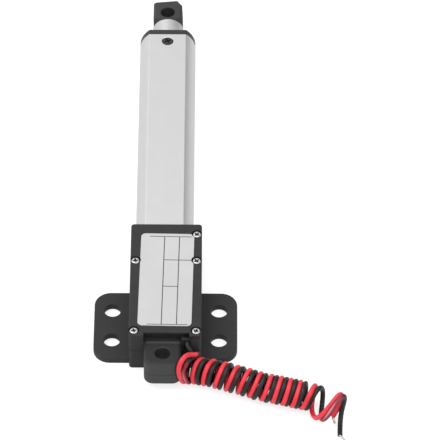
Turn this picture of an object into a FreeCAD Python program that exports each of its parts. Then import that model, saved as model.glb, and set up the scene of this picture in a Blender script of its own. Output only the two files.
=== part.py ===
import FreeCAD, Part
import math
import os

# Micro electric linear actuator, millimetres, +Z up.
# Row frame: origin at the centre of the four-hole base pattern, on the underside.
# +Y runs along the stroke, from the rear eye towards the front eye.
# Shapes are laid out from the rear eye's pin-hole axis (X across, Y along the
# actuator axis) and are moved into the row frame when they are written.

V = FreeCAD.Vector

# ---------------------------------------------------------------- overall
STROKE = 75.0              # rod travel
HOLE_TO_HOLE = 133.0       # rear eye hole to front eye hole, retracted
AXIS_X = -0.6              # actuator axis, measured from the base pattern's centre
AXIS_Z = 6.4               # actuator axis above the underside
EYE_TO_PATTERN = 17.6      # rear eye hole to base pattern's centre
HOUSING_CX = -AXIS_X       # housing centre, measured from the actuator axis

# ---------------------------------------------------------------- base flange
FLANGE_W = 38.9
FLANGE_L = 24.1
FLANGE_T = 1.9
FLANGE_R = 4.5
PATTERN_X = 29.0
PATTERN_Y = 10.8
BASE_HOLE_R = 2.3

# ---------------------------------------------------------------- housing
HOUSING_W = 19.44
HOUSING_H = 12.9
HOUSING_Y0 = 3.9
HOUSING_Y1 = 45.3
SPLIT_Z = 6.8
CORNER_R = 0.9
TOP_EDGE_R = 0.4
REAR_WALL_Y = 6.2          # inner face of the rear wall
CAV_X0, CAV_X1 = -6.15, 7.5
CAV_Z0, CAV_Z1 = 1.25, 11.55
SOCKET_Y = 36.6            # where the tube socket begins

# cover screws
SCREW_DX = 8.32
SCREW_Y = (5.86, 31.6, 41.55)
SCREW_HEAD_R = 1.1
COUNTERBORE_R = 1.45
COUNTERBORE_Z = 11.9
SCREW_THREAD_R = 0.7

# ---------------------------------------------------------------- rear eye
EYE_W = 10.0
EYE_Z0, EYE_Z1 = 2.6, 10.35
EYE_BACK = -4.3
EYE_CORNER_R = 2.5
PIN_HOLE_R = 2.0

# ---------------------------------------------------------------- tube
TUBE_HALF_W = 7.95
TUBE_HALF_H = 5.7
TUBE_FLAT = 5.25           # half width of the top and bottom flats
TUBE_Y0 = 36.65
TUBE_Y1 = 121.5
TUBE_WALL_SIDE = 1.2
TUBE_WALL_FLAT = 0.9

# ---------------------------------------------------------------- front bush
BUSH_Y0 = 115.7
BUSH_Y1 = 123.5
BUSH_BORE_R = 4.35
BUSH_SCREW_Y = 118.75
BUSH_SCREW_R = 1.5

# ---------------------------------------------------------------- rod
ROD_R = 4.3
ROD_BORE_R = 2.5
ROD_Y0 = 39.0
ROD_Y1 = 129.3
FRONT_EYE_HALF_W = 4.15
FRONT_EYE_T = 7.3
FRONT_EYE_END = 138.1
FRONT_EYE_TWIST = 2.5      # degrees about the rod, right side up

# ---------------------------------------------------------------- drive screw
SCREW_R = 2.0
SCREW_LEAD = 1.0
SCREW_TIP = 119.0
GUIDE_Y0, GUIDE_Y1 = 37.5, 40.5

# ---------------------------------------------------------------- motor
MOTOR_Y0 = 8.9
MOTOR_Y1 = 23.9
MOTOR_R = 6.0
MOTOR_HALF_H = 5.0

# ---------------------------------------------------------------- gears
MODULE = 0.17
Z_SMALL = 10
Z_BIG = 28
CENTRES = MODULE * (Z_SMALL + Z_BIG) / 2.0
GEAR_PIN_R = 0.4

# ---------------------------------------------------------------- leads
LEAD_D = 1.35
COIL_R = 4.15


# ================================================================ helpers
def box(x0, x1, y0, y1, z0, z1):
    return Part.makeBox(x1 - x0, y1 - y0, z1 - z0, V(x0, y0, z0))


def cyl_y(r, y0, y1, x=0.0, z=AXIS_Z):
    return Part.makeCylinder(r, y1 - y0, V(x, y0, z), V(0, 1, 0))


def cyl_z(r, z0, z1, x, y):
    return Part.makeCylinder(r, z1 - z0, V(x, y, z0), V(0, 0, 1))


def fuse(*shapes):
    out = shapes[0]
    for s in shapes[1:]:
        out = out.fuse(s)
    return out.removeSplitter()


def edges_where(shape, test):
    return [e for e in shape.Edges if test(e)]


def vertical(e):
    a, b = e.Vertexes[0].Point, e.Vertexes[-1].Point
    return abs(a.x - b.x) < 1e-6 and abs(a.y - b.y) < 1e-6 and abs(a.z - b.z) > 1e-6


def at_z(e, z):
    return all(abs(v.Point.z - z) < 1e-6 for v in e.Vertexes)


def rounded_plate(x0, x1, y0, y1, z0, z1, r):
    b = box(x0, x1, y0, y1, z0, z1)
    return b.makeFillet(r, edges_where(b, vertical))


def tube_prism(y0, y1, dh=0.0, dside=0.0, edge_r=0.0):
    # the tube's outline, grown or shrunk by dh at the flats and dside at the arcs
    c = (TUBE_HALF_W ** 2 - TUBE_FLAT ** 2 - TUBE_HALF_H ** 2) / (2 * (TUBE_HALF_W - TUBE_FLAT))
    r = TUBE_HALF_W - c + dside
    hh = TUBE_HALF_H + dh
    fx = c + math.sqrt(r * r - hh * hh)
    z = AXIS_Z
    w = Part.Wire([
        Part.LineSegment(V(-fx, y0, z + hh), V(fx, y0, z + hh)).toShape(),
        Part.Arc(V(fx, y0, z + hh), V(c + r, y0, z), V(fx, y0, z - hh)).toShape(),
        Part.LineSegment(V(fx, y0, z - hh), V(-fx, y0, z - hh)).toShape(),
        Part.Arc(V(-fx, y0, z - hh), V(-c - r, y0, z), V(-fx, y0, z + hh)).toShape(),
    ])
    p = Part.Face(w).extrude(V(0, y1 - y0, 0))
    if edge_r:
        along = [e for e in p.Edges
                 if abs(e.Vertexes[0].Point.x - e.Vertexes[-1].Point.x) < 1e-6
                 and abs(e.Vertexes[0].Point.z - e.Vertexes[-1].Point.z) < 1e-6
                 and abs(e.Vertexes[0].Point.y - e.Vertexes[-1].Point.y) > 1.0]
        p = p.makeFillet(edge_r, along)
    return p


def flattened_cyl(r, half_h, y0, y1, x=0.0, z=AXIS_Z):
    c = cyl_y(r, y0, y1, x, z)
    return c.common(box(x - r - 1, x + r + 1, y0 - 1, y1 + 1, z - half_h, z + half_h))


def involute(a):
    return math.tan(a) - a


def gear(teeth, y0, y1, x, z, tooth_at, tip_factor=1.0, play=0.03):
    # spur gear, 20 degree flanks; a tooth's middle points at the angle tooth_at
    # (radians from +X towards +Z)
    rp = MODULE * teeth / 2.0
    rb = rp * math.cos(math.radians(20))
    ra = rp + tip_factor * MODULE
    rf = rp - 1.25 * MODULE
    half_p = (math.pi * MODULE / 2 - play) / (2 * rp)
    inv0 = involute(math.radians(20))

    def half(r):
        if r <= rb:
            return half_p + inv0
        return half_p + inv0 - involute(math.acos(rb / r))

    n = 4
    start = max(rb, rf)
    radii = [start + (ra - start) * i / n for i in range(n + 1)]
    if rf < rb - 1e-6:
        radii = [rf] + radii
    pts = []
    for k in range(teeth):
        a0 = tooth_at + 2 * math.pi * k / teeth
        for r in radii:
            a = a0 - half(r)
            pts.append((r, a))
        for r in reversed(radii):
            a = a0 + half(r)
            pts.append((r, a))
    vec = [V(x + r * math.cos(a), y0, z + r * math.sin(a)) for r, a in pts]
    vec.append(vec[0])
    return Part.Face(Part.makePolygon(vec)).extrude(V(0, y1 - y0, 0))


def route_wire(points, radii_out, name):
    # straight runs joined by tangent arcs; each arc's radius is 0.45 of the
    # shorter run over the tangent of half the turn
    pts = [V(*p) for p in points]
    if len(pts) == 2:
        return Part.Wire([Part.LineSegment(pts[0], pts[1]).toShape()])
    edges, here = [], pts[0]
    for i in range(1, len(pts) - 1):
        a, b, c = pts[i - 1], pts[i], pts[i + 1]
        u, w = (b - a), (c - b)
        lu, lw = u.Length, w.Length
        u.normalize()
        w.normalize()
        turn = u.getAngle(w)
        cut = 0.45 * min(lu, lw)
        radius = cut / math.tan(turn / 2)
        radii_out.append((name, round(radius, 2)))
        p, q = b - u * cut, b + w * cut
        bis = (w - u)
        bis.normalize()
        mid = b + bis * (radius / math.cos(turn / 2) - radius)
        if (p - here).Length > 1e-6:
            edges.append(Part.LineSegment(here, p).toShape())
        edges.append(Part.Arc(p, mid, q).toShape())
        here = q
    edges.append(Part.LineSegment(here, pts[-1]).toShape())
    return Part.Wire(edges)


RADII = []


def tube_along(points, r, name):
    wire = route_wire(points, RADII, name)
    first = V(*points[0])
    direction = V(*points[1]) - first
    disc = Part.Wire([Part.makeCircle(r, first, direction)])
    solid = wire.makePipeShell([disc], True, False)
    section = math.pi * r * r * wire.Length
    print(name, "length", round(wire.Length, 2), "volume", round(solid.Volume, 3),
          "section x length", round(section, 3), "valid", solid.isValid())
    return solid


PARTS = {}


def add(name, shape):
    shape = shape.copy()
    shape.translate(V(AXIS_X, -EYE_TO_PATTERN, 0))
    PARTS[name] = shape


def group(*shapes):
    return Part.makeCompound(list(shapes))


# ================================================================ housing shells
hx0, hx1 = HOUSING_CX - HOUSING_W / 2, HOUSING_CX + HOUSING_W / 2


def housing_block(z0, z1):
    return rounded_plate(hx0, hx1, HOUSING_Y0, HOUSING_Y1, z0, z1, CORNER_R)


def housing_cuts(shape):
    shape = shape.cut(box(CAV_X0, CAV_X1, REAR_WALL_Y, SOCKET_Y, CAV_Z0, CAV_Z1))
    shape = shape.cut(tube_prism(SOCKET_Y - 0.5, HOUSING_Y1 + 1, 0.03, 0.03))
    # opening for the rear eye's neck
    shape = shape.cut(box(-EYE_W / 2 - 0.04, EYE_W / 2 + 0.04, HOUSING_Y0 - 1, REAR_WALL_Y + 0.5,
                          EYE_Z0 - 0.04, EYE_Z1 + 0.04))
    return shape


SCREW_PLACES = [(-1, 0), (1, 0), (-1, 1), (1, 1), (1, 2)]


def screw_xy():
    return [(HOUSING_CX + s * SCREW_DX, SCREW_Y[k]) for s, k in SCREW_PLACES]


# wire outlet, right of the rear eye
GROM_X0, GROM_X1 = 5.78, 7.46
GROM_Z0, GROM_Z1 = 7.55, 11.25
LEAD_X = (GROM_X0 + GROM_X1) / 2
LEAD_BLACK_Z = 10.25
LEAD_RED_Z = 8.8

# lower shell with its flange
lower = housing_block(0.0, SPLIT_Z)
flange = rounded_plate(HOUSING_CX - FLANGE_W / 2, HOUSING_CX + FLANGE_W / 2,
                       EYE_TO_PATTERN - FLANGE_L / 2, EYE_TO_PATTERN + FLANGE_L / 2,
                       0.0, FLANGE_T, FLANGE_R)
flange = flange.makeFillet(0.25, edges_where(flange, lambda e: at_z(e, FLANGE_T)))
lower = fuse(lower, flange)
lower = housing_cuts(lower)
for sx in (-1, 1):
    for sy in (-1, 1):
        cx, cy = HOUSING_CX + sx * PATTERN_X / 2, EYE_TO_PATTERN + sy * PATTERN_Y / 2
        lower = lower.cut(cyl_z(BASE_HOLE_R, -1, FLANGE_T + 1, cx, cy))
# pilot holes for the cover screws
for x, y in screw_xy():
    lower = lower.cut(cyl_z(SCREW_THREAD_R, 2.0, SPLIT_Z + 1, x, y))
# parting line: a fine step round the upper outer edge
ring = box(hx0 - 1, hx1 + 1, HOUSING_Y0 - 1, HOUSING_Y1 + 1, SPLIT_Z - 0.12, SPLIT_Z).cut(
    rounded_plate(hx0 + 0.12, hx1 - 0.12, HOUSING_Y0 + 0.12, HOUSING_Y1 - 0.12,
                  SPLIT_Z - 0.2, SPLIT_Z + 0.1, CORNER_R - 0.12))
lower = lower.cut(ring)
add("base_housing", lower.removeSplitter())

# upper shell
upper = housing_block(SPLIT_Z, HOUSING_H)
upper = upper.makeFillet(TOP_EDGE_R, edges_where(upper, lambda e: at_z(e, HOUSING_H)))
upper = housing_cuts(upper)
# shallow pocket in the rear edge above the eye and the wire outlet
pocket = box(-5.15, 7.15, HOUSING_Y0 - 1, HOUSING_Y0 + 1.2, EYE_Z1, HOUSING_H + 1)
pocket = pocket.cut(box(EYE_W / 2 + 0.04, 8, HOUSING_Y0 - 2, HOUSING_Y0 + 3, EYE_Z1 - 1, 11.4))
upper = upper.cut(pocket)
upper = upper.cut(box(-5.04, 5.04, HOUSING_Y0 + 1.1, 5.9, EYE_Z1, 12.35))
upper = upper.cut(box(5.03, 7.15, HOUSING_Y0 + 0.45, 5.9, 11.02, 12.35))
for x, y in screw_xy():
    upper = upper.cut(cyl_z(COUNTERBORE_R, COUNTERBORE_Z, HOUSING_H + 1, x, y))
    upper = upper.cut(cyl_z(SCREW_THREAD_R + 0.05, SPLIT_Z - 1, HOUSING_H, x, y))
# slot for the grommet
upper = upper.cut(box(GROM_X0, GROM_X1, HOUSING_Y0 - 1, REAR_WALL_Y + 0.5, GROM_Z0, GROM_Z1))
upper = upper.removeSplitter()
# soften the pocket's upper edge
soft = [e for e in upper.Edges
        if at_z(e, HOUSING_H)
        and all(abs(v.Point.y - (HOUSING_Y0 + 1.2)) < 1e-6 for v in e.Vertexes)]
if soft:
    try:
        upper = upper.makeFillet(0.5, soft)
    except Exception as problem:
        print("pocket edge left sharp:", problem)
add("cover_housing", upper)

# cover screws, cross-recessed pan heads
screws = []
for k, (x, y) in enumerate(screw_xy()):
    zt = COUNTERBORE_Z + 0.85
    head = cyl_z(SCREW_HEAD_R, COUNTERBORE_Z, zt, x, y)
    head = head.makeFillet(0.25, edges_where(head, lambda e: at_z(e, zt)))
    shank = cyl_z(SCREW_THREAD_R, 2.6, COUNTERBORE_Z, x, y)
    s = fuse(head, shank)
    turn = (17, 62, 8, 35, 50)[k]
    for a in (turn, turn + 90):
        slot = box(-0.78, 0.78, -0.19, 0.19, zt - 0.55, zt + 0.2)
        slot.rotate(V(0, 0, 0), V(0, 0, 1), a)
        slot.translate(V(x, y, 0))
        s = s.cut(slot)
    s = s.cut(Part.makeCone(0.2, 0.5, 0.5, V(x, y, zt - 0.5), V(0, 0, 1)))
    screws.append(s)
add("cover_screws", group(*screws))

# rating label, left bare
LABEL_W, LABEL_L, LABEL_T = 14.5, 34.05, 0.12
label = rounded_plate(-LABEL_W / 2, LABEL_W / 2, -LABEL_L / 2, LABEL_L / 2, HOUSING_H, HOUSING_H + LABEL_T, 1.3)
label.rotate(V(0, 0, 0), V(0, 0, 1), -0.95)
label.translate(V(0.70, 24.4, 0))
for x, y in screw_xy():
    label = label.cut(cyl_z(COUNTERBORE_R + 0.03, HOUSING_H - 1, HOUSING_H + 1, x, y))
add("rating_label", label)

# grommet with one hole for each lead
grommet = box(GROM_X0, GROM_X1, HOUSING_Y0 - 0.25, REAR_WALL_Y, GROM_Z0, GROM_Z1)
grommet = grommet.cut(box(GROM_X0 - 1, 7.15, HOUSING_Y0 + 0.45, REAR_WALL_Y - 0.3, 11.02, 13))
for z in (LEAD_BLACK_Z, LEAD_RED_Z):
    grommet = grommet.cut(cyl_y(LEAD_D / 2, HOUSING_Y0 - 2, REAR_WALL_Y + 1, LEAD_X, z))
add("wire_grommet", grommet)

# ================================================================ rear eye
eye = box(-EYE_W / 2, EYE_W / 2, EYE_BACK, REAR_WALL_Y + 0.1, EYE_Z0, EYE_Z1)
back_edges = [e for e in eye.Edges if vertical(e) and abs(e.Vertexes[0].Point.y - EYE_BACK) < 1e-6]
eye = eye.makeFillet(EYE_CORNER_R, back_edges)
for z, r in ((EYE_Z1, 0.9), (EYE_Z0, 0.35)):
    rim = [e for e in eye.Edges
           if at_z(e, z) and not all(abs(v.Point.y - (REAR_WALL_Y + 0.1)) < 1e-6 for v in e.Vertexes)]
    eye = eye.makeFillet(r, rim)
# the neck steps down where it goes under the cover's pocket
NECK_Y, NECK_Z = 4.25, 9.3
eye = eye.cut(box(-8, 8, NECK_Y, REAR_WALL_Y + 2, NECK_Z, 12))
step_edge = [e for e in eye.Edges
             if at_z(e, EYE_Z1) and all(abs(v.Point.y - NECK_Y) < 1e-6 for v in e.Vertexes)]
if step_edge:
    eye = eye.makeChamfer(0.16, step_edge)
eye = fuse(eye, box(-6.1, 5.92, REAR_WALL_Y + 0.03, REAR_WALL_Y + 1.4, CAV_Z0 + 0.05, CAV_Z1 - 0.05))
eye = eye.cut(cyl_z(PIN_HOLE_R, -1, 14, 0, 0))
eye = eye.cut(Part.makeCone(PIN_HOLE_R, PIN_HOLE_R + 0.25, 0.25, V(0, 0, EYE_Z1 - 0.25), V(0, 0, 1)))
eye = eye.cut(Part.makeCone(PIN_HOLE_R + 0.25, PIN_HOLE_R, 0.25, V(0, 0, EYE_Z0), V(0, 0, 1)))
# moulding line round the eye
SEAM_Z = 6.2
seam = box(-8, 8, -8, HOUSING_Y0 - 0.05, SEAM_Z - 0.06, SEAM_Z + 0.06)
core = box(-EYE_W / 2 + 0.1, EYE_W / 2 - 0.1, EYE_BACK + 0.1, 8, 0, 12)
core = core.makeFillet(EYE_CORNER_R - 0.1, [e for e in core.Edges
                                           if vertical(e) and abs(e.Vertexes[0].Point.y - EYE_BACK - 0.1) < 1e-6])
eye = eye.cut(seam.cut(core))
add("rear_eye", eye.removeSplitter())

# ================================================================ tube
tube = tube_prism(TUBE_Y0, TUBE_Y1, 0, 0, 0.45)
tube = tube.cut(tube_prism(TUBE_Y0 - 1, TUBE_Y1 + 1, -TUBE_WALL_FLAT, -TUBE_WALL_SIDE))
top = AXIS_Z + TUBE_HALF_H
tube = tube.cut(cyl_z(BUSH_SCREW_R + 0.05, AXIS_Z + 3, top + 1, 0, BUSH_SCREW_Y))
tube = tube.cut(Part.makeCone(BUSH_SCREW_R + 0.05, BUSH_SCREW_R + 0.25, 0.2,
                              V(0, BUSH_SCREW_Y, top - 0.2), V(0, 0, 1)))
add("outer_tube", tube)

# front bush: flange in the tube's outline and a plug inside it
bush_flange = tube_prism(TUBE_Y1, BUSH_Y1, -0.03, -0.03, 0.45)
front_edges = [e for e in bush_flange.Edges
               if all(abs(v.Point.y - BUSH_Y1) < 1e-6 for v in e.Vertexes)]
try:
    bush_flange = bush_flange.makeFillet(0.2, front_edges)
except Exception as problem:
    print("bush edge left sharp:", problem)
bush = fuse(bush_flange, tube_prism(BUSH_Y0, TUBE_Y1, -TUBE_WALL_FLAT - 0.03, -TUBE_WALL_SIDE - 0.03))
bush = bush.cut(cyl_y(BUSH_BORE_R, BUSH_Y0 - 1, BUSH_Y1 + 1))
bush = bush.cut(cyl_y(5.2, 121.95, 122.85))
bush = bush.cut(cyl_z(BUSH_SCREW_R, AXIS_Z + 4.45, AXIS_Z + 6, 0, BUSH_SCREW_Y))
add("front_bush", bush)

seal = cyl_y(5.2, 121.95, 122.85).cut(cyl_y(ROD_R + 0.02, 121, 124))
add("rod_wiper", seal)

s = cyl_z(BUSH_SCREW_R, AXIS_Z + 4.45, top, 0, BUSH_SCREW_Y)
s = s.makeFillet(0.15, edges_where(s, lambda e: at_z(e, top)))
for a in (28, 118):
    slot = box(-1.0, 1.0, -0.19, 0.19, top - 0.6, top + 0.2)
    slot.rotate(V(0, 0, 0), V(0, 0, 1), a)
    slot.translate(V(0, BUSH_SCREW_Y, 0))
    s = s.cut(slot)
add("bush_screw", s)

# ================================================================ rod
rod = cyl_y(ROD_R, ROD_Y0, ROD_Y1)
rod = rod.cut(cyl_y(ROD_BORE_R, ROD_Y0 - 1, ROD_Y1 + 1))
rod = rod.cut(cyl_y(3.2, ROD_Y0 - 1, ROD_Y0 + 6.5))
add("piston_rod", rod)

# round collar against the rod, then the flat-sided eye with one cut corner and a slightly
# slanting end
COLLAR = 0.6
hw = FRONT_EYE_HALF_W
outline = [(-hw, ROD_Y1 + COLLAR), (hw, ROD_Y1 + COLLAR), (hw, FRONT_EYE_END - 1.95),
           (hw - 1.45, FRONT_EYE_END + 0.2), (-hw, FRONT_EYE_END - 0.28)]
outline.append(outline[0])
fe = Part.Face(Part.makePolygon([V(x, y, AXIS_Z - FRONT_EYE_T / 2) for x, y in outline])).extrude(
    V(0, 0, FRONT_EYE_T))
fe = fe.makeFillet(0.9, [e for e in fe.Edges if vertical(e)
                         and e.Vertexes[0].Point.y > FRONT_EYE_END - 1
                         and abs(e.Vertexes[0].Point.x + hw) < 1e-6])
fe = fe.makeChamfer(0.7, [e for e in fe.Edges
                           if (at_z(e, AXIS_Z + FRONT_EYE_T / 2) or at_z(e, AXIS_Z - FRONT_EYE_T / 2))
                           and not all(abs(v.Point.y - ROD_Y1 - COLLAR) < 1e-6 for v in e.Vertexes)])
# its near corners are turned down to the collar
fe = fe.common(fuse(Part.makeCone(ROD_R - 0.02, ROD_R + 1.5, 1.52, V(0, ROD_Y1 + COLLAR, AXIS_Z), V(0, 1, 0)),
                    box(-9, 9, ROD_Y1 + COLLAR + 1.5, 142, -2, 16)))
fe = fuse(fe, cyl_y(ROD_R - 0.02, ROD_Y1, ROD_Y1 + COLLAR))
fe = fuse(fe, cyl_y(ROD_BORE_R, ROD_Y1 - 7.8, ROD_Y1 + 0.1))
fe = fe.cut(cyl_z(PIN_HOLE_R, -1, 14, 0, HOLE_TO_HOLE))
fe = fe.cut(Part.makeCone(PIN_HOLE_R, PIN_HOLE_R + 0.2, 0.2,
                          V(0, HOLE_TO_HOLE, AXIS_Z + FRONT_EYE_T / 2 - 0.2), V(0, 0, 1)))
fe = fe.cut(Part.makeCone(PIN_HOLE_R + 0.2, PIN_HOLE_R, 0.2,
                          V(0, HOLE_TO_HOLE, AXIS_Z - FRONT_EYE_T / 2), V(0, 0, 1)))
fe.rotate(V(0, 0, AXIS_Z), V(0, 1, 0), -FRONT_EYE_TWIST)
add("front_eye", fe)

nut = fuse(cyl_y(ROD_R, GUIDE_Y0, ROD_Y0), cyl_y(3.2, GUIDE_Y0, ROD_Y0 + 6.5))
nut = nut.cut(cyl_y(SCREW_R + 0.05, GUIDE_Y0 - 1, ROD_Y0 + 8))
add("drive_nut", nut)

guide = tube_prism(GUIDE_Y0, GUIDE_Y1, -TUBE_WALL_FLAT - 0.06, -TUBE_WALL_SIDE - 0.06)
guide = guide.cut(box(4.36, 9, GUIDE_Y0 - 1, GUIDE_Y1 + 1, -2, 15))
guide = guide.cut(cyl_y(ROD_R, GUIDE_Y0 - 1, GUIDE_Y1 + 1))
add("rod_guide", guide)

# ================================================================ screw and its bearing
BRG_Y0, BRG_Y1 = 33.2, 36.2
screw = fuse(cyl_y(GEAR_PIN_R, 26.7, 30.2),
             cyl_y(1.5, 29.9, 33.1),
             cyl_y(SCREW_R, 33.1, SCREW_TIP - 0.4),
             cyl_y(2.7, BRG_Y1, 37.0),
             Part.makeCone(SCREW_R, SCREW_R - 0.4, 0.4, V(0, SCREW_TIP - 0.4, AXIS_Z), V(0, 1, 0)))
add("lead_screw", screw)

ring_in = cyl_y(2.7, BRG_Y0, BRG_Y1).cut(cyl_y(SCREW_R, BRG_Y0 - 1, BRG_Y1 + 1))
ring_out = cyl_y(4.0, BRG_Y0, BRG_Y1).cut(cyl_y(3.3, BRG_Y0 - 1, BRG_Y1 + 1))
BALLS = 7
mid_y = (BRG_Y0 + BRG_Y1) / 2
race = Part.makeTorus(3.0, 0.52, V(0, mid_y, AXIS_Z), V(0, 1, 0))
ring_in, ring_out = ring_in.cut(race), ring_out.cut(race)
add("bearing_inner_ring", ring_in)
add("bearing_outer_ring", ring_out)
balls, cage = [], cyl_y(3.2, mid_y - 0.8, mid_y + 0.8).cut(cyl_y(2.8, 30, 40))
for k in range(BALLS):
    a = 2 * math.pi * k / BALLS
    c = V(3.0 * math.cos(a), mid_y, AXIS_Z + 3.0 * math.sin(a))
    balls.append(Part.makeSphere(0.5, c))
    out = V(math.cos(a), 0, math.sin(a))
    cage = cage.cut(Part.makeCylinder(0.53, 1.6, c - out * 0.8, out))
add("bearing_balls", group(*balls))
add("bearing_cage", cage)

carrier = box(CAV_X0 + 0.05, CAV_X1 - 0.05, 33.0, SOCKET_Y - 0.05, CAV_Z0 + 0.05, CAV_Z1 - 0.05)
carrier = carrier.cut(cyl_y(4.0, 32, BRG_Y1))
carrier = carrier.cut(cyl_y(3.5, 32, SOCKET_Y + 1))
carrier = carrier.cut(box(5.4, 9, 32, 40, 3.8, 13))
add("bearing_carrier", carrier)

# ================================================================ gear train
sx = CENTRES                       # side axle, on the +X side of the axis
towards_side = 0.0
towards_axis = math.pi
gap_big = math.pi / Z_BIG

rear_plate = flattened_cyl(MOTOR_R, MOTOR_HALF_H, 23.9, 24.7).cut(cyl_y(1.6, 23, 26))
rear_plate = rear_plate.cut(cyl_y(GEAR_PIN_R, 23, 26, sx))
front_plate = flattened_cyl(MOTOR_R, MOTOR_HALF_H, 31.9, 32.9).cut(cyl_y(1.53, 31, 34))
front_plate = front_plate.cut(cyl_y(GEAR_PIN_R, 31, 34, sx))
posts = []
for px, pz in ((-4.2, 3.3), (-4.2, -3.3), (4.3, 3.75), (4.3, -3.75)):
    posts.append(cyl_y(0.7, 24.7, 31.9, px, AXIS_Z + pz))
add("gearbox_rear_plate", rear_plate)
add("gearbox_front_plate", front_plate)
add("gearbox_posts", group(*posts))
add("gear_axle", cyl_y(GEAR_PIN_R, 23.9, 32.9, sx))

pinion = gear(Z_SMALL, 25.0, 26.45, 0, AXIS_Z, towards_side).cut(cyl_y(0.5, 24, 28))
add("motor_pinion", pinion)

PIN_PLAY = 0.03
gear_a = fuse(gear(Z_BIG, 25.1, 26.1, sx, AXIS_Z, towards_axis + gap_big, 0.85),
              gear(Z_SMALL, 26.1, 27.8, sx, AXIS_Z, towards_axis))
gear_a = gear_a.cut(cyl_y(GEAR_PIN_R + PIN_PLAY, 24, 29, sx))
add("first_gear", gear_a)

gear_b = fuse(gear(Z_BIG, 26.75, 27.7, 0, AXIS_Z, towards_side + gap_big, 0.85),
              gear(Z_SMALL, 27.7, 29.4, 0, AXIS_Z, towards_side))
gear_b = gear_b.cut(cyl_y(GEAR_PIN_R + PIN_PLAY, 24, 31))
add("second_gear", gear_b)

gear_c = fuse(gear(Z_BIG, 28.3, 29.3, sx, AXIS_Z, towards_axis + gap_big, 0.85),
              gear(Z_SMALL, 29.3, 31.2, sx, AXIS_Z, towards_axis))
gear_c = gear_c.cut(cyl_y(GEAR_PIN_R + PIN_PLAY, 24, 33, sx))
add("third_gear", gear_c)

gear_d = gear(Z_BIG, 30.1, 31.2, 0, AXIS_Z, towards_side + gap_big, 0.85).cut(cyl_y(1.5, 29, 33))
add("output_gear", gear_d)

# ================================================================ motor
can = flattened_cyl(MOTOR_R, MOTOR_HALF_H, 10.2, MOTOR_Y1)
can = can.cut(flattened_cyl(MOTOR_R - 0.4, MOTOR_HALF_H - 0.4, 9, MOTOR_Y1 - 0.5))
can = can.cut(cyl_y(1.5, 22, 25))
add("motor_can", can)

end_cap = fuse(flattened_cyl(MOTOR_R, MOTOR_HALF_H, MOTOR_Y0, 10.2),
               flattened_cyl(MOTOR_R - 0.42, MOTOR_HALF_H - 0.42, 10.2, 11.0).cut(cyl_y(3.4, 10.2, 12)))
end_cap = end_cap.cut(cyl_y(0.53, 9.2, 11))
end_cap = end_cap.cut(cyl_y(3.4, 9.9, 12))
for tx in (-4.2, 4.2):
    end_cap = end_cap.cut(box(tx - 0.8, tx + 0.8, 8, 12, AXIS_Z - 0.15, AXIS_Z + 0.15))
add("motor_end_cap", end_cap)

brushes = []
for tx, inward in ((-4.2, 1), (4.2, -1)):
    tab = box(tx - 0.8, tx + 0.8, 8.0, 11.4, AXIS_Z - 0.15, AXIS_Z + 0.15)
    x_in = tx + inward * 3.02
    arm = box(min(tx, x_in), max(tx, x_in), 11.0, 11.4, AXIS_Z - 0.15, AXIS_Z + 0.15)
    brushes.append(fuse(tab, arm))
add("brush_terminals", group(*brushes))

magnets = []
ring = cyl_y(5.55, 12.4, 21.4).cut(cyl_y(3.9, 12, 22))
for side in (-1, 1):
    half = box(min(side * 2.2, side * 7), max(side * 2.2, side * 7), 12, 22,
               AXIS_Z - 4.4, AXIS_Z + 4.4)
    magnets.append(ring.common(half))
add("motor_magnets", group(*magnets))

add("motor_front_bush", cyl_y(1.5, 22.9, 23.9).cut(cyl_y(0.53, 22, 25)))

add("rotor_shaft", cyl_y(0.5, 9.4, 26.45))

core = cyl_y(1.4, 13.2, 20.6)
for k in range(3):
    neck = box(-0.6, 0.6, 13.2, 20.6, AXIS_Z + 0.8, AXIS_Z + 3.2)
    tip = cyl_y(3.6, 13.2, 20.6).cut(cyl_y(2.9, 13, 21)).common(
        box(-2.55, 2.55, 13, 21, AXIS_Z + 1.2, AXIS_Z + 4))
    pole = fuse(neck, tip)
    pole.rotate(V(0, 0, AXIS_Z), V(0, 1, 0), 120 * k)
    core = core.fuse(pole)
core = core.removeSplitter().cut(cyl_y(0.5, 12, 22))
add("rotor_core", core)

windings = []
for k in range(3):
    w = box(-1.15, 1.15, 12.7, 21.1, AXIS_Z + 1.75, AXIS_Z + 2.5).cut(
        box(-0.6, 0.6, 13.2, 20.6, AXIS_Z + 1, AXIS_Z + 3))
    w.rotate(V(0, 0, AXIS_Z), V(0, 1, 0), 120 * k)
    windings.append(w)
add("rotor_windings", group(*windings))
add("commutator", cyl_y(1.15, 10.5, 12.4).cut(cyl_y(0.5, 9, 14)))

# ================================================================ limit switches
board = box(5.45, 6.05, 33.1, 114.6, AXIS_Z - 2.3, AXIS_Z + 2.3)
add("switch_board", board)
switches = []
for y0 in (37.6, 111.2):
    sw = box(4.5, 5.45, y0, y0 + 3.2, AXIS_Z - 1.3, AXIS_Z + 1.3)
    switches.append(sw)
add("limit_switches", group(*switches))
diodes = [cyl_y(0.45, y0, y0 + 2.2, 4.97, AXIS_Z) for y0 in (44.0, 48.0)]
add("blocking_diodes", group(*diodes))

# ================================================================ inner wiring
add("red_lead_inner", cyl_y(LEAD_D / 2, HOUSING_Y0 - 0.25, 32.6, LEAD_X, LEAD_RED_Z))
add("black_lead_inner", cyl_y(LEAD_D / 2, HOUSING_Y0 - 0.25, 32.6, LEAD_X, LEAD_BLACK_Z))
links = []
for z in (3.6, 5.0):
    links.append(cyl_y(0.45, 8.3, 32.6, 6.75, z))
add("motor_wires", group(*links))

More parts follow.
